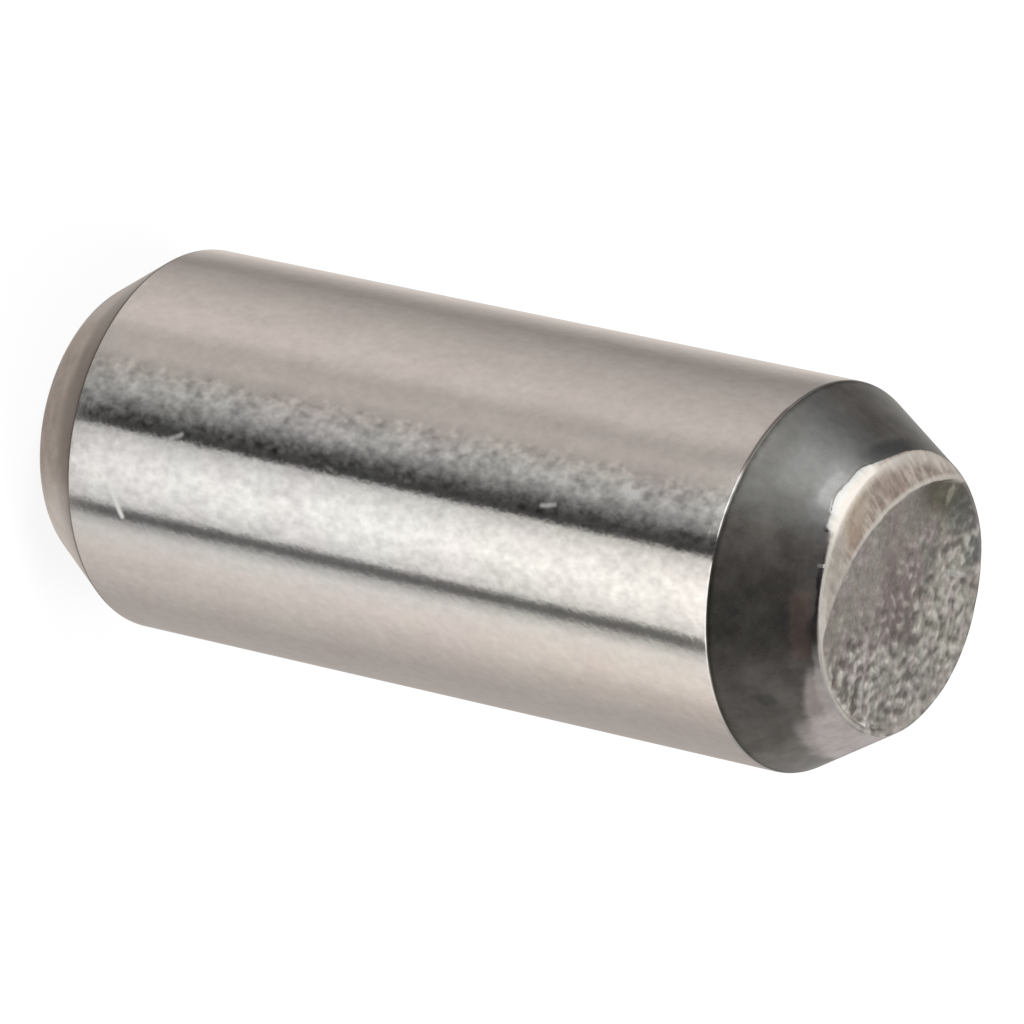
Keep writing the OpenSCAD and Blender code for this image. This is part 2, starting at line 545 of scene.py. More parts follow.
@dataclass(frozen=True)
class CroppedSteel:
    """The end face as the shear left it: a wiped crescent and a grainy break, with painted highlights and
    painted shade on it.

    Attributes:
        smeared: Colour of the crescent.
        streaked: Colour of the streaks that the blade dragged over it.
        broken: Colour of the break.
        pit_shade: Painted shade deep in the break's pits.
        crest_highlight: Painted highlight on its crests.
        bare: Colour of the rubbed rim and of the crescent's inner edge, which also carries the painted
            highlights there.
        rosy: Tint of one half of the break's mottles.
        greenish: Tint of the other half.
        roughness: Roughness where nothing has rubbed it.
        grain_mm: Size of the finest grain.
        mottle_mm: Size of the slight changes of brightness.
        tint_mm: Size of the tinted mottles.
        streak_mm: Width of the dragged streaks.
        wiped: Patches of other colour on the crescent.
        torn: Patches of other colour on the break, the darkest of them painted shade in its hollow.
        glints_shade_and_marks: Painted highlights on the break's ridges, painted shade in its grooves and
            its hollow, and a few other light and dark spots.
    """

    smeared: Colour = (0.69, 0.60, 0.54)
    streaked: Colour = (0.41, 0.33, 0.28)
    broken: Colour = (0.45, 0.41, 0.385)
    pit_shade: Colour = (0.17, 0.155, 0.145)
    crest_highlight: Colour = (0.84, 0.80, 0.76)
    bare: Colour = (0.90, 0.85, 0.79)
    rosy: Colour = (1.02, 0.975, 1.0)
    greenish: Colour = (0.985, 1.005, 0.97)
    roughness: float = 0.46
    grain_mm: float = 0.08
    mottle_mm: float = 0.35
    tint_mm: float = 0.55
    streak_mm: float = 0.9
    wiped: tuple[Mark, ...] = (
        Mark((-2.55, -1.55), (0.40, 0.85), (0.40, 0.31, 0.27), 0.6),
        Mark((-0.5, -3.2), (1.6, 0.42), (0.60, 0.56, 0.51), 0.75),
        Mark((-2.2, -2.55), (0.9, 0.35), (0.60, 0.53, 0.44), 0.6),
        Mark((-3.26, -0.05), (0.13, 0.22), (0.30, 0.24, 0.21), 0.8),
        Mark((-1.15, -2.60), (0.34, 0.30), (0.33, 0.25, 0.21), 0.7),
        Mark((-1.50, -2.75), (0.75, 0.40), (0.56, 0.45, 0.36), 0.6),
    )
    torn: tuple[Mark, ...] = (
        Mark((0.3, 2.3), (2.6, 1.3), (0.53, 0.505, 0.455), 0.85),
        Mark((2.1, 0.7), (1.2, 2.1), (0.46, 0.435, 0.415), 0.7),
        Mark((2.7, 1.3), (0.6, 0.6), (0.58, 0.52, 0.50), 0.7),
        Mark((0.05, 0.0), (1.25, 1.10), (0.33, 0.265, 0.265), 0.75),
        Mark((-1.5, -0.6), (0.9, 0.9), (0.40, 0.355, 0.33), 0.7),
        Mark((1.2, -2.2), (1.4, 0.6), (0.40, 0.365, 0.335), 0.7),
        Mark((-1.9, 2.85), (1.1, 0.42), (0.25, 0.24, 0.23), 0.75),
        # Painted shade in the break's hollow.
        Mark((-2.65, 1.10), (0.60, 1.00), (0.175, 0.165, 0.13), 0.9),
        Mark((-1.10, 1.05), (0.75, 0.50), (0.33, 0.30, 0.285), 0.6),
        Mark((0.75, 0.45), (0.42, 0.38), (0.28, 0.22, 0.22), 0.6),
        Mark((-0.65, -0.50), (0.40, 0.38), (0.28, 0.235, 0.23), 0.5),
        Mark((0.05, -0.95), (0.42, 0.30), (0.50, 0.44, 0.43), 0.6),
        Mark((1.65, -0.35), (0.40, 0.80), (0.56, 0.52, 0.50), 0.6),
        Mark((0.10, 2.85), (0.60, 0.60), (0.62, 0.59, 0.55), 0.5),
        Mark((1.95, -1.55), (0.80, 0.35), (0.28, 0.255, 0.235), 0.5),
        Mark((-0.10, -2.40), (0.50, 0.22), (0.52, 0.49, 0.46), 0.6),
        # Painted shade at the edge of the break's hollow.
        Mark((-2.35, 2.00), (0.50, 0.50), (0.22, 0.21, 0.20), 0.8),
        Mark((-2.05, 0.35), (0.5, 0.8), (0.30, 0.275, 0.25), 0.6),
    )
    glints_shade_and_marks: tuple[Mark, ...] = (
        # Painted light: the next marks are painted highlights on the ridges and painted shade in the
        # grooves beside them.
        Mark((2.42, -0.80), (0.30, 0.10), (0.66, 0.64, 0.63), 0.85),
        Mark((2.86, -0.70), (0.28, 0.10), (0.60, 0.57, 0.56), 0.85),
        Mark((2.60, -1.00), (0.34, 0.09), (0.20, 0.18, 0.165), 0.8),
        Mark((3.06, -0.90), (0.22, 0.10), (0.22, 0.185, 0.16), 0.8),
        Mark((3.34, -0.56), (0.13, 0.16), (0.20, 0.17, 0.15), 0.8),
        Mark((3.30, -0.28), (0.12, 0.13), (0.80, 0.78, 0.75), 0.8),
        Mark((3.44, 0.12), (0.12, 0.13), (0.22, 0.21, 0.20), 0.7),
        Mark((1.97, -1.21), (0.14, 0.12), (0.66, 0.65, 0.63), 0.8),
        Mark((2.02, -0.97), (0.14, 0.13), (0.20, 0.19, 0.18), 0.7),
        Mark((2.38, -1.84), (0.20, 0.10), (0.62, 0.62, 0.54), 0.8),
        Mark((2.66, -1.98), (0.24, 0.09), (0.26, 0.225, 0.20), 0.8),
        Mark((2.30, -1.36), (0.12, 0.12), (0.58, 0.56, 0.55), 0.7),
        Mark((2.06, -0.34), (0.12, 0.16), (0.58, 0.55, 0.54), 0.7),
        Mark((2.24, -0.04), (0.12, 0.16), (0.58, 0.56, 0.54), 0.7),
        Mark((0.62, 0.36), (0.62, 0.52), (0.27, 0.22, 0.22), 0.42, 0.6),
        # Painted shade in the break's hollow, with a lighter stripe across it.
        Mark((-2.62, 0.96), (0.40, 0.44), (0.17, 0.155, 0.125), 0.6),
        Mark((-2.66, 1.84), (0.44, 0.36), (0.15, 0.14, 0.125), 0.6),
        Mark((-2.70, 1.33), (0.28, 0.09), (0.46, 0.46, 0.37), 0.55),
        Mark((-2.10, 2.05), (0.32, 0.48), (0.21, 0.20, 0.195), 0.5),
        Mark((-1.65, 3.10), (0.60, 0.22), (0.22, 0.225, 0.235), 0.6),
        Mark((-1.20, 1.10), (0.15, 0.17), (0.20, 0.185, 0.18), 0.6),
        Mark((-1.35, 1.73), (0.13, 0.16), (0.22, 0.205, 0.20), 0.55),
        Mark((-0.80, 2.40), (0.09, 0.42), (0.74, 0.72, 0.69), 0.65),
    )

    def material(self) -> bpy.types.Material:
        """Build the finish."""
        made, wires = new_material("cropped_steel")
        where = wires.place_mm()
        ragged = wires.warp(where, 0.4, 0.3)
        grain = wires.noise(where, self.grain_mm, 3.0, 0.65)
        mottle = wires.minus(wires.noise(where, self.mottle_mm, 3.0, 0.7), 0.5)
        smeared = self.crescent(wires, where, ragged, mottle)
        broken = self.broken_face(wires, where, ragged)
        broken = wires.brighten(broken, wires.minus(grain, 0.5), 0.75)
        broken = wires.brighten(broken, mottle, 0.6)
        halves = wires.fade(wires.noise(where, self.tint_mm, 2.0, 0.6), 0.42, 0.58)
        tint = wires.mix(halves, self.rosy, self.greenish)
        broken = wires.mix(1.0, broken, tint, "MULTIPLY")
        tone = wires.mix(wires.attribute("broken"), smeared, broken)
        # The bare colour also carries the painted highlights on the rim and along the step.
        bare_and_highlight = wires.attribute("bare")
        tone = wires.mix(bare_and_highlight, tone, self.bare)
        rough = wires.minus(self.roughness, wires.times(bare_and_highlight, 0.1))
        wires.metal(tone, rough, grain, 0.003)
        return made

    def crescent(self, wires: Wiring, where: Any, ragged: Any, mottle: Any) -> Socket:
        """Colour of the crescent.

        Args:
            wires: The material's wiring.
            where: The point on the end face.
            ragged: The same point, pushed about for the marks' edges.
            mottle: Slight changes of brightness.

        Returns:
            The colour, streaked in the direction in which the blade went.
        """
        turn = (0.0, 0.0, math.radians(DRAG_SIDE))
        sockets = {"Vector": where, "Rotation": turn, "Scale": (1.0, 0.18, 1.0)}
        dragged = wires.node("ShaderNodeMapping", sockets, vector_type="TEXTURE").outputs[0]
        streak = wires.noise(dragged, self.streak_mm, 4.0, 0.65)
        smeared = wires.mix(wires.fade(streak, 0.38, 0.64), self.smeared, self.streaked)
        for mark in self.wiped:
            smeared = mark.paint(wires, ragged, smeared)
        return wires.brighten(smeared, mottle)

    def broken_face(self, wires: Wiring, where: Any, ragged: Any) -> Socket:
        """Colour of the break, with painted shade in its pits and painted highlight on its crests.

        Args:
            wires: The material's wiring.
            where: The point on the end face.
            ragged: The same point, pushed about for the marks' edges.

        Returns:
            The colour, without the finest grain.
        """
        broken: Any = self.broken
        for mark in self.torn:
            broken = mark.paint(wires, ragged, broken)
        # Painted light: the break's relief darkens its pits as painted shade and lightens its crests as
        # painted highlight.
        relief = wires.attribute("pit_shade")
        dark = wires.times(wires.fade(relief, 0.45, 1.0), 0.72)
        light = wires.times(wires.fade(relief, 0.50, 0.0), 0.68)
        broken = wires.mix(light, wires.mix(dark, broken, self.pit_shade), self.crest_highlight)
        nudged = wires.warp(where, 0.3, 0.08)
        for mark in self.glints_shade_and_marks:
            broken = mark.paint(wires, nudged, broken)
        return broken


@dataclass
class Corner:
    """A corner of the pin's section, and the radius that rounds it.

    Attributes:
        radius: Distance from the pin's axis.
        height: Distance above the bottom face.
        rounding: Radius of the arc in place of the corner.
        steps: Pieces in that arc.
    """

    radius: float
    height: float
    rounding: float
    steps: int

    def arc(self, before: "Corner", after: "Corner") -> list[tuple[float, float]]:
        """Points of the arc, each a radius and a height, going from one corner to the next."""
        here = Vector((self.radius, self.height))
        back = (Vector((before.radius, before.height)) - here).normalized()
        ahead = (Vector((after.radius, after.height)) - here).normalized()
        half_angle = back.angle(ahead) / 2
        centre = here + (back + ahead).normalized() * (self.rounding / math.sin(half_angle))
        start = here + back * (self.rounding / math.tan(half_angle)) - centre
        turn = math.pi - 2 * half_angle
        spots = [centre + Matrix.Rotation(turn * i / self.steps, 2) @ start for i in range(self.steps + 1)]
        return [(spot.x, spot.y) for spot in spots]


@dataclass(frozen=True)
class Burr:
    """Thin lip that the shear blade pushed over the rim, and that ends in a torn hook.

    Attributes:
        start: Side of the pin where it begins, in degrees.
        full: Side where it has its full thickness.
        end: Side where it is torn off.
        reach: How far it stands out from the chamfer at its lower edge.
        fall: How far it hangs down the chamfer.
    """

    start: float = 204.0
    full: float = 231.0
    end: float = 251.5
    reach: float = 0.10
    fall: float = 0.43

    def thickness(self, side: float) -> float:
        """How thick the lip is at a side of the pin, from 0 to 1."""
        torn = smooth_step(self.end - 0.5, self.end + 1.5, side)
        return smooth_step(self.start, self.full, side) * (1.0 - torn)

    def lower_edge(self, side: float) -> float:
        """How far down the chamfer the lip hangs at a side of the pin."""
        ragged = 1.0 + 0.25 * noise.noise(Vector((side / 9.0, 0.0, 3.0)))
        tapered = 1.0 - 0.25 * smooth_step(240, 252, side)
        return self.fall * (0.3 + 0.7 * self.thickness(side)) * tapered * ragged

    def stand_out(self, side: float, below_rim: float) -> float:
        """How far the lip stands out from the chamfer.

        Args:
            side: Side of the pin, in degrees.
            below_rim: Distance down the chamfer from the rim, in millimetres.

        Returns:
            The distance in millimetres, 0 off the lip.
        """
        edge = self.lower_edge(side)
        flare = 0.35 + 0.65 * min(max(below_rim / edge, 0.0), 1.0)
        shown = 1.0 - smooth_step(edge - 0.04, edge + 0.08, below_rim)
        return self.reach * self.thickness(side) * flare * shown

    def bareness_and_highlight(self, side: float, below_rim: float) -> float:
        """How bare the lip's metal is, from 0 to 1, with its painted highlight."""
        edge = self.lower_edge(side)
        shown = smooth_step(0.05, 0.60, self.thickness(side))
        ragged = 0.07 * noise.noise(Vector((side / 1.6, below_rim / 0.5, 11.0)))
        return shown * (1.0 - smooth_step(edge - 0.20, edge + 0.16, below_rim + ragged))


@dataclass(frozen=True)
class Ridge:
    """A torn ridge or groove on the break, along a line.

    Attributes:
        start: One end on the end face, in millimetres.
        end: The other end.
        half_width: How far it reaches to each side.
        height: How high it stands, or less than 0 for a groove.
    """

    start: tuple[float, float]
    end: tuple[float, float]
    half_width: float
    height: float

    def height_at(self, x: float, y: float) -> float:
        """How high it stands at a place on the end face."""
        along = Vector(self.end) - Vector(self.start)
        offset = Vector((x, y)) - Vector(self.start)
        share = min(max(offset.dot(along) / along.length_squared, 0.0), 1.0)
        return self.height * smooth_step(self.half_width, 0.0, (offset - along * share).length)


@dataclass(frozen=True)
class Grain:
    """The break's grains of one size.

    Attributes:
        width: Their size along X, in millimetres.
        height: Their size along Y.
        seed: Which random pattern they follow.
        share: How high they stand.
    """

    width: float
    height: float
    seed: float
    share: float

    def relief(self, x: float, y: float) -> float:
        """Their relief at a place on the end face."""
        return self.share * noise.noise(Vector((x / self.width, y / self.height, self.seed)))


@dataclass(frozen=True)
class ShearMarks:
    """Where the shear blade cut, and how the bar broke behind it.

    Attributes:
        blade_side: Side that the blade came from, in degrees round the pin.
        blade_travel: How far the blade had cut when the bar broke.
        blade_radius: Radius of the blade's round edge.
        crescent_slope: Slope of the cut crescent down to the rim, in degrees.
        break_step: How far the break lies below the crescent's inner edge.
        coarse_side: Side on which the break is coarsest, in degrees.
        grain_height: Height of the break's grain where it is coarse.
        kept_rim: Stretch in which the break leaves the rim standing.
        raised_edge: Stretch beside which the break rises to the rim.
        torn_edge: Stretch beside which the break is coarser.
        hollow: Middle of the break's hollow on the end face.
        calm_middle: Middle of the patch where the break is calmer.
        calm_size: Half axes of that patch.
        grains: The break's grains, size by size.
        ridges: The largest ridges and grooves of the break.
    """

    blade_side: float = 225.0
    blade_travel: float = 2.55
    blade_radius: float = 4.9
    crescent_slope: float = 6.0
    break_step: float = 0.12
    coarse_side: float = 50.0
    grain_height: float = 0.020
    kept_rim: Stretch = Stretch(318, 70)
    raised_edge: Stretch = Stretch(140, 34)
    torn_edge: Stretch = Stretch(335, 34)
    hollow: tuple[float, float] = (-2.55, 0.75)
    calm_middle: tuple[float, float] = (-2.65, 1.1)
    calm_size: tuple[float, float] = (0.55, 0.9)
    grains: tuple[Grain, ...] = (
        Grain(0.23, 0.27, 2.0, 1.0),
        Grain(0.15, 0.14, 5.0, 0.55),
        Grain(0.42, 0.75, 8.0, 0.6),
    )
    ridges: tuple[Ridge, ...] = (
        Ridge((2.18, -0.87), (3.08, -0.63), 0.14, 0.060),
        Ridge((2.36, -1.04), (2.80, -0.94), 0.11, -0.050),
        Ridge((2.99, -1.01), (3.38, -0.52), 0.13, -0.050),
        Ridge((1.80, -1.16), (2.10, -1.05), 0.12, -0.035),
        Ridge((2.25, -1.84), (2.55, -1.80), 0.15, 0.030),
        Ridge((2.50, -2.02), (2.80, -1.94), 0.15, -0.025),
        Ridge((2.01, -0.41), (2.27, 0.00), 0.12, 0.040),
        Ridge((3.26, -0.30), (3.36, -0.26), 0.16, 0.050),
        Ridge((3.40, 0.10), (3.46, 0.14), 0.16, -0.030),
    )

    def beyond_blade(self, x: float, y: float) -> float:
        """How far a point of the end face lies outside the blade's round edge."""
        side = math.radians(self.blade_side)
        centre_x = -self.blade_travel * math.cos(side)
        centre_y = -self.blade_travel * math.sin(side)
        return math.hypot(x - centre_x, y - centre_y) - self.blade_radius

    def crescent_depth(self, x: float, y: float) -> float:
        """Depth of the cut crescent, with the streaks that the blade dragged across it."""
        slope = max(self.beyond_blade(x, y), 0.0) * math.tan(math.radians(self.crescent_slope))
        turn = math.radians(DRAG_SIDE)
        across = x * math.sin(turn) - y * math.cos(turn)
        along = x * math.cos(turn) + y * math.sin(turn)
        streaks = noise.noise(Vector((across / 0.11, along / 0.6, 0.0)))
        return slope + 0.006 * streaks

    def coarseness(self, x: float, y: float) -> float:
        """How coarse the break is, from 0 beside the crescent to 1 across from it."""
        side = math.radians(self.coarse_side)
        across = x * math.cos(side) + y * math.sin(side)
        outwards = smooth_step(1.5, 2.4, math.hypot(x, y))
        torn_edge = 0.7 * self.torn_edge.share(side_of(x, y)) * outwards
        off_x = (x - self.calm_middle[0]) / self.calm_size[0]
        off_y = (y - self.calm_middle[1]) / self.calm_size[1]
        calm = 1.0 - 0.5 * smooth_step(1.3, 0.8, math.hypot(off_x, off_y))
        return min(0.34 + 0.66 * smooth_step(-1.3, 0.9, across) + torn_edge, 1.2) * calm

    def grain(self, x: float, y: float) -> float:
        """Relief of the break, mostly from -1 on its crests to 1 in its pits."""
        return 1.45 * sum(grain.relief(x, y) for grain in self.grains) * self.coarseness(x, y)

    def break_depth(self, x: float, y: float, rim: float) -> float:
        """Depth of the break.

        Args:
            x: Place on the end face, in millimetres.
            y: Place on the end face, in millimetres.
            rim: Radius of the end face.

        Returns:
            The depth below the pin's full length, in millimetres.
        """
        radius = math.hypot(x, y)
        side = side_of(x, y)
        kept_rim = self.kept_rim.share(side) * smooth_step(rim - 0.22, rim - 0.08, radius)
        raised = 0.12 * self.raised_edge.share(side) * smooth_step(rim - 1.1, rim - 0.1, radius)
        hollow = 0.09 * smooth_step(1.1, 0.0, math.dist((x, y), self.hollow))
        swell = 0.05 * noise.noise(Vector((x / 1.6, y / 1.6, 1.0)))
        ridges = sum(ridge.height_at(x, y) for ridge in self.ridges)
        calm = 1.0 - 0.85 * smooth_step(rim - 0.26, rim - 0.10, radius)
        grain = calm * self.grain_height * self.grain(x, y)
        floor = self.break_step + hollow + swell - raised - ridges + grain
        return max(floor, 0.0) * (1.0 - kept_rim)


@dataclass(frozen=True)
class Rubbing:
    """Metal rubbed bare on the end face along a stretch of its rim, and painted bright there as a
    highlight.

    Attributes:
        stretch: Where it lies round the pin.
        strength: How bare the metal is there, from 0 to 1.
        begins: Distance inside the rim at which it begins, in millimetres.
        full: Distance inside the rim from which it is at its full strength.
    """

    stretch: Stretch
    strength: float
    begins: float
    full: float

    def bareness_and_highlight(self, side: float, inside: float) -> float:
        """How bare the metal is at a side of the pin and a distance inside the rim, with its painted
        highlight.
        """
        return self.strength * self.stretch.share(side) * smooth_step(self.begins, self.full, inside)


@dataclass
class DowelPin:
    """The whole pin, as one closed mesh, in millimetres until it is finished.

    Attributes:
        diameter: Diameter of the ground body.
        length: Length over both ends.
        finishes: Material of each zone.
        top_chamfer: Length of the chamfer at the cropped end, along the pin.
        top_slope: Angle of that chamfer against the pin's side, in degrees.
        bottom_chamfer: Length of the chamfer at the plain end, along the pin.
        bottom_slope: Angle of that chamfer against the pin's side, in degrees.
        body_edge_rounding: Radius between the body and each chamfer.
        top_rim_rounding: Radius round the cropped end face.
        bottom_rim_rounding: Radius round the plain end face.
        roll_width: Width of the rim that the blade rolled over towards the burr.
        roll_drop: How far that rim drops at its edge.
        rolled_side: Stretch round the pin in which it is rolled.
        sheen_beside_burr: Metal rubbed bare beside the burr, painted bright as a highlight too.
        kept_rim_bare_and_sheen: Metal rubbed bare along the rim that the break left standing, painted
            bright as a highlight too.
        lit_rim_side: Side on which the whole rim is worn, and painted bright as a highlight on its
            rounding.
        lit_rim_corner: Part of the rim whose wear and painted highlight reach furthest in.
        step_highlight: Stretch in which the step between crescent and break carries a painted highlight.
        marks: What the shear left.
        burr: The lip over the cropped end's rim.
        deepest_cut: Depth below the full length that no mark of the shear reaches.
        sides: Faces round the pin.
        spans: Pieces between each rounded corner and the next, and how they crowd upwards.
    """

    diameter: float
    length: float
    finishes: dict[Zone, bpy.types.Material] = field(default_factory=dict)
    top_chamfer: float = 2.45
    top_slope: float = 30.0
    bottom_chamfer: float = 1.95
    bottom_slope: float = 32.5
    body_edge_rounding: float = 0.15
    top_rim_rounding: float = 0.15
    bottom_rim_rounding: float = 0.3
    roll_width: float = 0.26
    roll_drop: float = 0.05
    rolled_side: Stretch = Stretch(235, 32)
    sheen_beside_burr: tuple[Rubbing, ...] = (
        Rubbing(Stretch(226, 42), 0.38, 0.30, 0.02),
        Rubbing(Stretch(190, 34), 0.50, 0.44, 0.16),
    )
    kept_rim_bare_and_sheen: Rubbing = Rubbing(Stretch(316, 58), 0.75, 0.34, 0.20)
    lit_rim_side: Stretch = Stretch(280, 85)
    lit_rim_corner: Stretch = Stretch(178, 35)
    step_highlight: Stretch = Stretch(200, 80)
    marks: ShearMarks = ShearMarks()
    burr: Burr = Burr()
    deepest_cut: float = 0.45
    sides: int = 384
    spans: tuple[tuple[int, float], ...] = ((10, 1.0), (12, 1.0), (38, 1.5))

    @property
    def radius(self) -> float:
        """Radius of the ground body."""
        return self.diameter / 2

    @property
    def top_face_radius(self) -> float:
        """Radius of the cropped end face."""
        return self.radius - self.top_chamfer * math.tan(math.radians(self.top_slope))

    @property
    def bottom_face_radius(self) -> float:
        """Radius of the plain end face."""
        return self.radius - self.bottom_chamfer * math.tan(math.radians(self.bottom_slope))

    @property
    def edge_heights(self) -> tuple[float, float]:
        """Heights at which the two chamfers begin."""
        return (self.bottom_chamfer, self.length - self.top_chamfer)

    def outline(self) -> list[tuple[float, float]]:
        """Radius and height of every ring, from the plain end face's rim to the cropped one's."""
        corners = (
            Corner(0.0, 0.0, 0.0, 0),
            Corner(self.bottom_face_radius, 0.0, self.bottom_rim_rounding, 6),
            Corner(self.radius, self.edge_heights[0], self.body_edge_rounding, 4),
            Corner(self.radius, self.edge_heights[1], self.body_edge_rounding, 4),
            Corner(self.top_face_radius, self.length, self.top_rim_rounding, 6),
            Corner(0.0, self.length, 0.0, 0),
        )
        arcs = [corners[i].arc(corners[i - 1], corners[i + 1]) for i in range(1, len(corners) - 1)]
        rings = list(arcs[0])
        for (pieces, crowding), arc in zip(self.spans, arcs[1:], strict=True):
            last = Vector(rings[-1])
            first = Vector(arc[0])
            shares = [1.0 - (1.0 - k / pieces) ** crowding for k in range(1, pieces)]
            rings += [tuple(last.lerp(first, share)) for share in shares]
            rings += arc
        return rings

    def turn(self) -> bpy.types.Object:
        """Build the turned form, ring by ring, and close its ends with grids.

        Returns:
            The mesh object, still in millimetres.
        """
        rings = self.outline()
        bpy.ops.object.select_all(action="DESELECT")
        first_radius, first_height = rings[0]
        bpy.ops.mesh.primitive_circle_add(
            vertices=self.sides, radius=first_radius, location=(0, 0, first_height)
        )
        pin = bpy.context.object
        pin.name = "ground_pin"
        pin.data.name = "ground_pin"
        bpy.ops.object.mode_set(mode="EDIT")
        bpy.ops.mesh.select_all(action="SELECT")
        for (last_radius, last_height), (radius, height) in pairwise(rings):
            rise = {"value": (0, 0, height - last_height)}
            bpy.ops.mesh.extrude_region_move(TRANSFORM_OT_translate=rise)
            share = radius / last_radius
            bpy.ops.transform.resize(value=(share, share, 1), center_override=(0, 0, height))
        bpy.ops.mesh.fill_grid(span=self.sides // 4)
        bpy.ops.mesh.subdivide(number_cuts=1)
        self.select_ring(pin, first_height)
        bpy.ops.mesh.fill_grid(span=self.sides // 4)
        bpy.ops.mesh.select_all(action="SELECT")
        bpy.ops.mesh.normals_make_consistent(inside=False)
        bpy.ops.object.mode_set(mode="OBJECT")
        return pin

    def select_ring(self, pin: bpy.types.Object, height: float) -> None:
        """Select the ring of edges at a height."""
        bpy.ops.mesh.select_all(action="DESELECT")
        bpy.ops.mesh.select_mode(type="VERT")
        bpy.ops.object.mode_set(mode="OBJECT")
        for vertex in pin.data.vertices:
            vertex.select = abs(vertex.co.z - height) < 1e-4
        bpy.ops.object.mode_set(mode="EDIT")
        bpy.ops.mesh.select_mode(type="EDGE")

    def move(
        self, pin: bpy.types.Object, name: str, way: str, most: float, share: Callable[[Vector], float]
    ) -> None:
        """Move each point by its share of a distance, with a Displace modifier.

        Args:
            pin: The mesh object.
            name: Name of the vertex group that holds the shares.
            way: Direction that the modifier moves points in.
            most: The distance that a share of 1 stands for.
            share: Gives a point's share, from 0 to 1.
        """
        group = pin.vertex_groups.new(name=name)
        for vertex in pin.data.vertices:
            weight = share(vertex.co)
            if weight > 0.0:
                group.add([vertex.index], min(weight, 1.0), "REPLACE")
        shift = pin.modifiers.new(name, "DISPLACE")
        shift.direction = way
        shift.mid_level = 0.0
        shift.strength = most
        shift.vertex_group = group.name
        bpy.ops.object.modifier_apply(modifier=shift.name)

    def down_chamfer(self, drop: float) -> float:
        """How far down the upper chamfer a point lies that is lower than the rim by drop."""
        return drop / math.cos(math.radians(self.top_slope))

    def lip_share(self, spot: Vector) -> float:
        """How much of its full reach the burr has at a point of the chamfer."""
        below_rim = self.down_chamfer(self.length - spot.z)
        if not 0.0 < below_rim < 2 * self.burr.fall:
            return 0.0
        return self.burr.stand_out(side_of(spot.x, spot.y), below_rim) / self.burr.reach

    def depth_at(self, x: float, y: float) -> float:
        """Depth of the finished end below the pin's full length, at a place on the end face."""
        beyond = self.marks.beyond_blade(x, y) + 0.03 * noise.noise(Vector((x / 0.4, y / 0.4, 7.0)))
        broken = smooth_step(0.04, -0.05, beyond)
        outwards = max(math.hypot(x, y) - self.top_face_radius + self.roll_width, 0.0) / self.roll_width
        rolled = self.rolled_side.share(side_of(x, y)) * outwards**2
        crescent = self.marks.crescent_depth(x, y) + self.roll_drop * rolled
        if broken == 0.0:
            return max(crescent, 0.0)
        behind = self.marks.break_depth(x, y, self.top_face_radius)
        return max(crescent * (1.0 - broken) + behind * broken, 0.0)

    def crop(self, pin: bpy.types.Object) -> None:
        """Push the burr out over the rim, then take the end down to the shear's surface."""
        self.move(pin, "burr", "NORMAL", self.burr.reach, self.lip_share)

        def cut_share(spot: Vector) -> float:
            """Share of the deepest cut that brings a point down to the cropped surface."""
            if spot.z < self.length - self.deepest_cut:
                return 0.0
            return (self.depth_at(spot.x, spot.y) - (self.length - spot.z)) / self.deepest_cut

        self.move(pin, "cropping", "Z", -self.deepest_cut, cut_share)

    def bareness_and_highlight(self, side: float, radius: float, beyond_blade: float) -> float:
        """How bare the metal is on the end face and its rim, from 0 to 1, with the painted highlights
        there.
        """
        inside = self.top_face_radius - radius
        # The metal beside the burr and along the kept rim is rubbed bare and painted bright as a
        # highlight.
        sheen_beside_burr = sum(rubbing.bareness_and_highlight(side, inside) for rubbing in self.sheen_beside_burr)
        kept_rim = self.kept_rim_bare_and_sheen.bareness_and_highlight(side, inside)
        # Painted highlight along the rim's rounding, strongest on one side, on metal that is worn too.
        corner = self.lit_rim_corner.share(side)
        worn = min(0.2 + 0.45 * self.lit_rim_side.share(side) + 0.35 * corner, 0.9)
        rim = worn * smooth_step(0.16 + 0.1 * corner, 0.05, inside)
        # Painted highlight along the step between crescent and break.
        step_edge = 0.2 + 0.5 * self.step_highlight.share(side)
        step = step_edge * smooth_step(0.17, 0.04, abs(beyond_blade - 0.07)) if inside > 0 else 0.0
        return min(max(sheen_beside_burr, kept_rim, rim, step), 1.0) * smooth_step(-0.06, 0.02, inside)

    def note_surface(self, pin: bpy.types.Object) -> None:
        """Leave what the cropped end's finish needs at the mesh's points."""
        names = ("broken", "pit_shade", "bare")
        for name in names:
            pin.data.attributes.new(name, "FLOAT", "POINT")
        notes = {name: pin.data.attributes[name].data for name in names}
        for vertex in pin.data.vertices:
            x, y, z = vertex.co
            if z < self.length - 0.8:
                continue
            side = side_of(x, y)
            radius = math.hypot(x, y)
            beyond = self.marks.beyond_blade(x, y)
            notes["broken"][vertex.index].value = smooth_step(0.03, -0.05, beyond)
            notes["pit_shade"][vertex.index].value = 0.5 + 0.5 * self.marks.grain(x, y)
            below_rim = self.down_chamfer(self.length - 0.03 - z)
            # The burr's lip is bared metal with a painted highlight on it.
            on_lip = self.burr.bareness_and_highlight(side, below_rim) if radius > self.top_face_radius - 0.03 else 0.0
            notes["bare"][vertex.index].value = max(on_lip, self.bareness_and_highlight(side, radius, beyond))

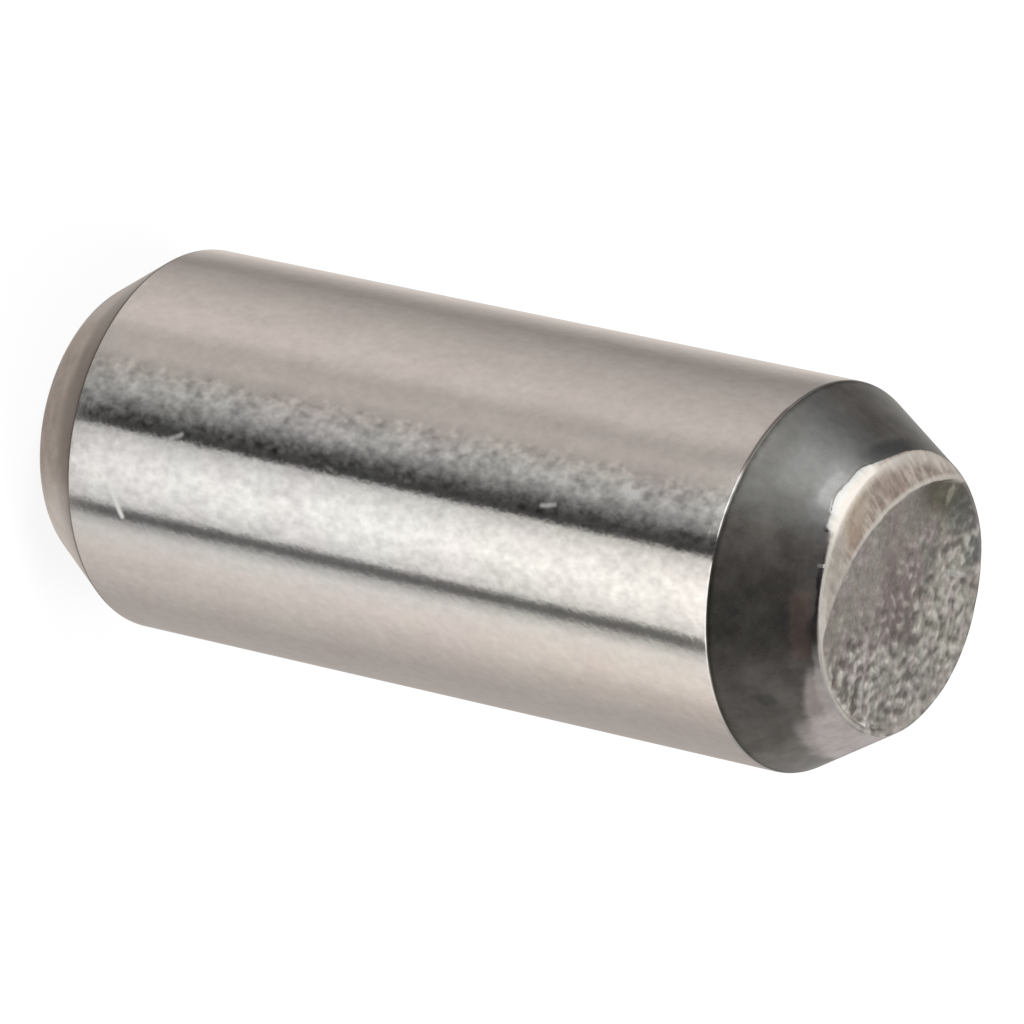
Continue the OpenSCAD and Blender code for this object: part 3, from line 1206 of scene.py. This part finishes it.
    def zone_of(self, middle: Vector) -> Zone:
        """The zone of a face, from where its middle is."""
        low, high = self.edge_heights
        if middle.z < 1e-3:
            return Zone.PLAIN_END
        if low + 0.05 < middle.z < high + 0.07:
            return Zone.BODY
        slope = math.tan(math.radians(self.top_slope))
        cone_radius = self.radius - max(middle.z - high, 0.0) * slope
        if middle.z > self.length - 0.5 and math.hypot(middle.x, middle.y) < cone_radius - 0.012:
            return Zone.CROPPED_END
        return Zone.CHAMFER if middle.z > high else Zone.FAR_CHAMFER

    def build(self) -> bpy.types.Object:
        """Model the pin, dress it and report it to the frame."""
        pin = self.turn()
        self.crop(pin)
        self.note_surface(pin)
        for zone in Zone:
            pin.data.materials.append(self.finishes[zone])
        for face in pin.data.polygons:
            face.material_index = self.zone_of(face.center).value
        pin.scale = (MM, MM, MM)
        bpy.ops.object.transform_apply(location=False, rotation=False, scale=True)
        bpy.ops.object.shade_smooth_by_angle(angle=math.radians(50))
        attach(pin, "root")
        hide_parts("dowel_pin")
        LOG.info("built %s with %d faces", pin.name, len(pin.data.polygons))
        return pin


def body_finish(top_edge: float) -> GroundSteel:
    """The ground body's finish, burnt a little along its upper edge."""
    burnt = (0.13, 0.10, 0.08)
    patches = (
        Patch((-50, -27), (-0.04, 0.2), burnt, 0.6, (4.0, 0.05)),
        Patch((-85, -55), (-0.01, 0.2), burnt, 0.35, (6.0, 0.03)),
    )
    return GroundSteel(patches=tuple(patch.raised(top_edge) for patch in patches))


def dark_chamfer_finish(length: float, edge_heights: tuple[float, float]) -> HardenedSteel:
    """The upper chamfer's finish, whose patches are placed from the pin's top down; several are painted
    highlights and painted shade.
    """
    patches = (
        # Painted highlight: the next three patches lighten the chamfer where the key light and the bright
        # surroundings would shine on it.
        Patch((-62, -18), (-2.6, 1.5), (0.35, 0.35, 0.342), 0.85, (8.0, 0.1)),
        Patch((-50, -34), (-1.5, -0.9), (0.49, 0.49, 0.485), 0.6, (11.0, 0.5)),
        Patch((-44, -28), (-0.62, -0.3), (0.66, 0.66, 0.66), 0.5, (12.0, 0.45), 0.0, 0.1),
        Patch((9, 31), (-0.58, -0.32), (0.42, 0.29, 0.26), 0.6, (4.0, 0.16), 0.0, 0.1),
        # Rubbed, rougher metal with a painted highlight on it: the next three patches are pale and
        # pinkish, and brightest towards the silhouette.
        Patch((41, 62), (-0.50, 1.5), (0.82, 0.74, 0.72), 0.85, (6.0, 0.22), -0.014, 0.28),
        Patch((68, 115), (-1.30, 1.5), (0.80, 0.73, 0.71), 0.85, (9.0, 0.26), -0.0125, 0.26),
        Patch((66, 102), (-0.96, 1.5), (1.0, 0.92, 0.91), 0.9, (7.0, 0.30), -0.020, 0.12),
        Patch((47.5, 49.5), (-1.50, -1.25), (0.19, 0.185, 0.18), 0.55, (3.0, 0.12), 0.03),
        Patch((-74, -64), (-0.40, -0.26), (0.15, 0.155, 0.165), 0.75, (14.0, 0.26), -0.006),
        # Painted shade: the next three patches darken the chamfer along the rim and just below it.
        Patch((-15, 14), (-0.14, -0.07), (0.07, 0.06, 0.08), 0.85, (6.0, 0.07)),
        Patch((16, 28), (-0.12, -0.07), (0.14, 0.12, 0.13), 0.4, (6.0, 0.06)),
        Patch((-18, -2), (-0.34, -0.12), (0.20, 0.19, 0.20), 0.35, (5.0, 0.10)),
        # Painted highlights: a bright strip along the rim, a white haze beside the burr and a small glint
        # just below the rim.
        Patch((31, 62), (-0.20, 1.5), (1.0, 0.92, 0.90), 0.8, (6.0, 0.12), -0.004),
        Patch((-40, -29), (-0.66, -0.36), (0.95, 0.95, 0.96), 0.42, (5.0, 0.18), 0.0, 0.1),
        Patch((-4.9, -3.6), (-0.22, 0.0), (0.80, 0.77, 0.76), 0.9, (0.6, 0.04)),
    )
    return HardenedSteel(
        "dark_chamfer",
        tone=(0.315, 0.288, 0.268),
        pale=(0.375, 0.348, 0.327),
        edge_tone=BROWN,
        edge_heights=edge_heights,
        patches=tuple(patch.raised(length) for patch in patches),
    )


def warm_chamfer_finish(edge_heights: tuple[float, float]) -> HardenedSteel:
    """The lower chamfer's finish, with one painted reflection."""
    return HardenedSteel(
        "warm_chamfer",
        tone=(0.36, 0.305, 0.265),
        pale=(0.43, 0.38, 0.345),
        edge_tone=(0.15, 0.13, 0.11),
        edge_heights=edge_heights,
        edge_width=0.9,
        edge_share=0.55,
        patches=(
            Patch((-38, 14), (1.45, 2.3), (0.13, 0.11, 0.09), 0.55, (12.0, 0.45)),
            # Painted reflection: a lighter stripe up the chamfer.
            Patch((27, 36), (0.6, 2.3), (0.62, 0.59, 0.56), 0.45, (8.0, 0.4)),
        ),
    )


def plain_end_finish() -> HardenedSteel:
    """The plain end face's finish, on which the edge colour goes all over."""
    return HardenedSteel(
        "plain_end",
        tone=(0.40, 0.38, 0.36),
        pale=(0.47, 0.45, 0.43),
        edge_tone=BROWN,
        edge_heights=(-1.0, 1.0),
        roughness=0.38,
    )


def pin_finishes(pin: DowelPin) -> dict[Zone, bpy.types.Material]:
    """Build the material of each zone of the pin."""
    return {
        Zone.BODY: body_finish(pin.edge_heights[1]).material(),
        Zone.CHAMFER: dark_chamfer_finish(pin.length, pin.edge_heights).material(),
        Zone.FAR_CHAMFER: warm_chamfer_finish(pin.edge_heights).material(),
        Zone.PLAIN_END: plain_end_finish().material(),
        Zone.CROPPED_END: CroppedSteel().material(),
    }


@dataclass(frozen=True)
class Row:
    """One height of the light tent: upright cards and gaps all the way round.

    Attributes:
        low: Lowest elevation at which this row alone is seen, in degrees.
        high: Highest elevation at which this row alone is seen, in degrees.
        cards: Bearing in degrees, from the camera's side towards +X, and the light there.
        warmth: How warm its cards of middling light are, from 0 to 1.
        neutral: Bearings between which its cards are neutral.
    """

    low: float
    high: float
    cards: tuple[tuple[float, float], ...]
    warmth: float = 0.0
    neutral: tuple[float, float] = (0.0, 0.0)

    def light(self, bearing: float, level: float) -> Colour:
        """Colour of a card at a bearing, from its light."""
        low, high = self.neutral
        before = smooth_step(low - 12, low, bearing)
        near = smooth_step(high + 10, high, bearing)
        far = smooth_step(high + 80, high, bearing)
        share = self.warmth * (1.0 - before * (0.86 * near + 0.14 * far))
        return (level, level * (1.0 - 0.085 * share), level * (0.98 - 0.125 * share))

    def stops(self) -> list[tuple[float, Colour]]:
        """The cards as stops of a ramp that runs once round the pin."""
        return [(bearing / 360 + 0.5, self.light(bearing, level)) for bearing, level in self.cards]


@dataclass
class LightTent:
    """The world: white to look at, plain to matt things, and a tent of cards to polished ones.

    Attributes:
        rows: Rows of cards, from the floor up.
        fill: Light on matt things.
    """

    rows: tuple[Row, ...] = (
        Row(-90, -64, ((-180, 0.66), (180, 0.66)), 0.8),
        Row(-55, -45, (
            (-180, 0.62), (-160, 0.80), (-148, 0.62), (-90, 0.56), (-50, 0.42), (0, 0.36), (40, 0.60),
            (80, 0.66), (135, 0.62), (150, 0.95), (165, 1.00), (180, 0.62),
        ), 0.6),
        Row(-38, -31, (
            (-180, 0.66), (-170, 0.72), (-160, 0.70), (-152, 0.58), (-136, 0.375), (-130, 0.35),
            (-96, 0.60), (-76, 0.72), (-68, 0.70), (-57, 0.53), (-46, 0.58), (-38, 0.50),
            (-24, 0.475), (-19, 0.42), (-14, 0.27), (-8, 0.11), (-3, 0.06), (1.6, 0.05),
            (3.8, 0.66), (12, 0.94), (28, 1.20), (40, 0.98), (48, 0.80), (51.5, 0.16),
            (56, 0.13), (60, 0.55), (67, 0.86), (80, 0.86), (108, 0.59), (124, 0.49),
            (170, 0.47), (180, 0.66),
        ), 1.0, (-22, 63)),
        Row(-24, -10, (
            (-180, 0.60), (-150, 0.32), (-135, 0.21), (-121, 0.18), (-106, 0.24), (-85, 0.33),
            (-66, 0.35), (-54, 0.34), (-48, 1.20), (-11, 1.20), (-7, 0.12), (3, 0.10),
            (7, 1.20), (50, 1.20), (54, 0.6), (58, 1.0), (84, 0.90), (104, 0.45),
            (121, 0.36), (140, 0.42), (163, 0.42), (180, 0.60),
        )),
        Row(3, 28, (
            (-180, 0.50), (-150, 0.38), (-125, 0.21), (-106, 0.30), (-90, 0.42), (-73, 0.74),
            (-56, 0.66), (-38, 0.38), (-19, 0.13), (-2, 0.05), (19, 0.04), (38, 0.05),
            (56, 0.08), (73, 0.24), (90, 0.22), (106, 0.27), (121, 0.29), (150, 0.40), (180, 0.50),
        )),
        Row(42, 90, (
            (-180, 0.62), (-160, 0.85), (-145, 1.18), (-35, 1.18), (-5, 0.60), (60, 0.50), (120, 0.55),
            (180, 0.62),
        )),
    )
    fill: float = 0.55

    def hang(self) -> None:
        """Wire the tent into the scene's world."""
        world = bpy.data.worlds.new("light_tent")
        world.use_nodes = True
        bpy.context.scene.world = world
        wires = Wiring(world.node_tree)
        way = wires.node("ShaderNodeTexCoord").outputs["Generated"]
        bearing = wires.bearing(way)
        elevation = wires.math("DEGREES", wires.math("ARCSINE", wires.parts(way)["Z"]))
        place = wires.plus(wires.math("DIVIDE", bearing, 360.0), 0.5)
        cards = wires.ramp(place, self.rows[0].stops())
        for below, row in pairwise(self.rows):
            climb = wires.fade(elevation, below.high, row.low)
            cards = wires.mix(climb, cards, wires.ramp(place, row.stops()))
        rays = wires.node("ShaderNodeLightPath").outputs
        seen = wires.mix(rays["Is Camera Ray"], (self.fill,) * 3, (1.0, 1.0, 1.0))
        seen = wires.mix(rays["Is Glossy Ray"], seen, cards)
        background = wires.node("ShaderNodeBackground", {"Color": seen, "Strength": 1.0})
        wires.node("ShaderNodeOutputWorld", {"Surface": background.outputs[0]})


@dataclass(frozen=True)
class Lamp:
    """A soft square lamp that faces the pin.

    Attributes:
        name: The lamp's name.
        bearing: Degrees round the pin from the camera's side, towards +X.
        elevation: Degrees above the floor.
        distance: Metres from the pin.
        size: Width in metres.
        power: Watts.
    """

    name: str
    bearing: float
    elevation: float
    distance: float
    size: float
    power: float

    def hang(self, target: Vector) -> None:
        """Add the lamp to the scene."""
        around = math.radians(self.bearing)
        above = math.radians(self.elevation)
        flat = math.cos(above)
        way = Vector((math.sin(around) * flat, -math.cos(around) * flat, math.sin(above)))
        bpy.ops.object.light_add(type="AREA", location=target + way * self.distance)
        lamp = bpy.context.object
        lamp.name = self.name
        lamp.rotation_euler = way.to_track_quat("Z", "Y").to_euler()
        lamp.data.shape = "SQUARE"
        lamp.data.size = self.size
        lamp.data.energy = self.power
        lamp.visible_camera = False
        lamp.visible_glossy = False


@dataclass
class Studio:
    """Floor, lamps, light tent and camera.

    Attributes:
        lens: Focal length of the camera.
        distance: Metres from the camera to its target.
        elevation: Degrees that the camera looks down.
        roll: Degrees that the camera is rolled, which lays the pin on its side in the picture.
        target: The point in the middle of the picture, in metres.
        floor_width: Width of the floor in metres.
        floor_glow: How plainly white the floor is to the camera, from 0 to 1.
        lamps: The lamps.
    """

    lens: float = 386.14
    distance: float = 0.28006
    elevation: float = 34.48
    roll: float = 102.3
    target: tuple[float, float, float] = (0.00006, 0.00012, 0.01238)
    floor_width: float = 1.6
    floor_glow: float = 0.9
    lamps: tuple[Lamp, ...] = (
        Lamp("key_lamp", -55.0, 38.0, 0.5, 0.22, 2.2),
        Lamp("top_lamp", 150.0, 65.0, 0.6, 0.4, 3.0),
    )

    def lay_floor(self) -> None:
        """Add the floor, white to look at, which keeps the pin's shadow."""
        bpy.ops.mesh.primitive_plane_add(size=self.floor_width, location=(0, 0, 0))
        floor = bpy.context.object
        floor.name = "floor"
        made, wires = new_material("white_floor")
        paper = wires.node("ShaderNodeBsdfDiffuse", {"Color": (0.9, 0.9, 0.9, 1.0)})
        glow = wires.node("ShaderNodeEmission", {"Color": (1.0, 1.0, 1.0, 1.0), "Strength": 1.0})
        rays = wires.node("ShaderNodeLightPath").outputs
        share = wires.times(rays["Is Camera Ray"], self.floor_glow)
        shader = wires.node("ShaderNodeMixShader", {0: share, 1: paper.outputs[0], 2: glow.outputs[0]})
        wires.node("ShaderNodeOutputMaterial", {"Surface": shader.outputs[0]})
        floor.data.materials.append(made)
        floor.visible_glossy = False

    def place_camera(self) -> None:
        """Add the camera at the photograph's viewing angle."""
        above = math.radians(self.elevation)
        back = Vector((0.0, -math.cos(above), math.sin(above)))
        bpy.ops.object.camera_add(location=Vector(self.target) + back * self.distance)
        camera = bpy.context.object
        camera.name = "camera"
        level = Matrix.Rotation(math.pi / 2 - above, 3, "X")
        camera.rotation_euler = (level @ Matrix.Rotation(math.radians(self.roll), 3, "Z")).to_euler()
        camera.data.lens = self.lens
        camera.data.sensor_width = 36.0
        camera.data.clip_start = 0.01
        bpy.context.scene.camera = camera

    def set_up(self) -> None:
        """Build the whole studio."""
        self.lay_floor()
        LightTent().hang()
        for lamp in self.lamps:
            lamp.hang(Vector(self.target))
        self.place_camera()
        bpy.context.scene.view_settings.view_transform = "Standard"


def corners(box: Iterable[Vector]) -> list[list[float]]:
    """The two corners of a box as plain lists."""
    return [list(corner) for corner in box]


def main() -> None:
    """Build the studio and the pin."""
    logging.basicConfig(level=logging.INFO)
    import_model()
    Studio().set_up()
    low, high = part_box("dowel_pin")
    pin = DowelPin(diameter=(high[0] - low[0]) * PER_MM, length=(high[2] - low[2]) * PER_MM)
    pin.finishes = pin_finishes(pin)
    pin.build()


if __name__ == "__main__":
    main()
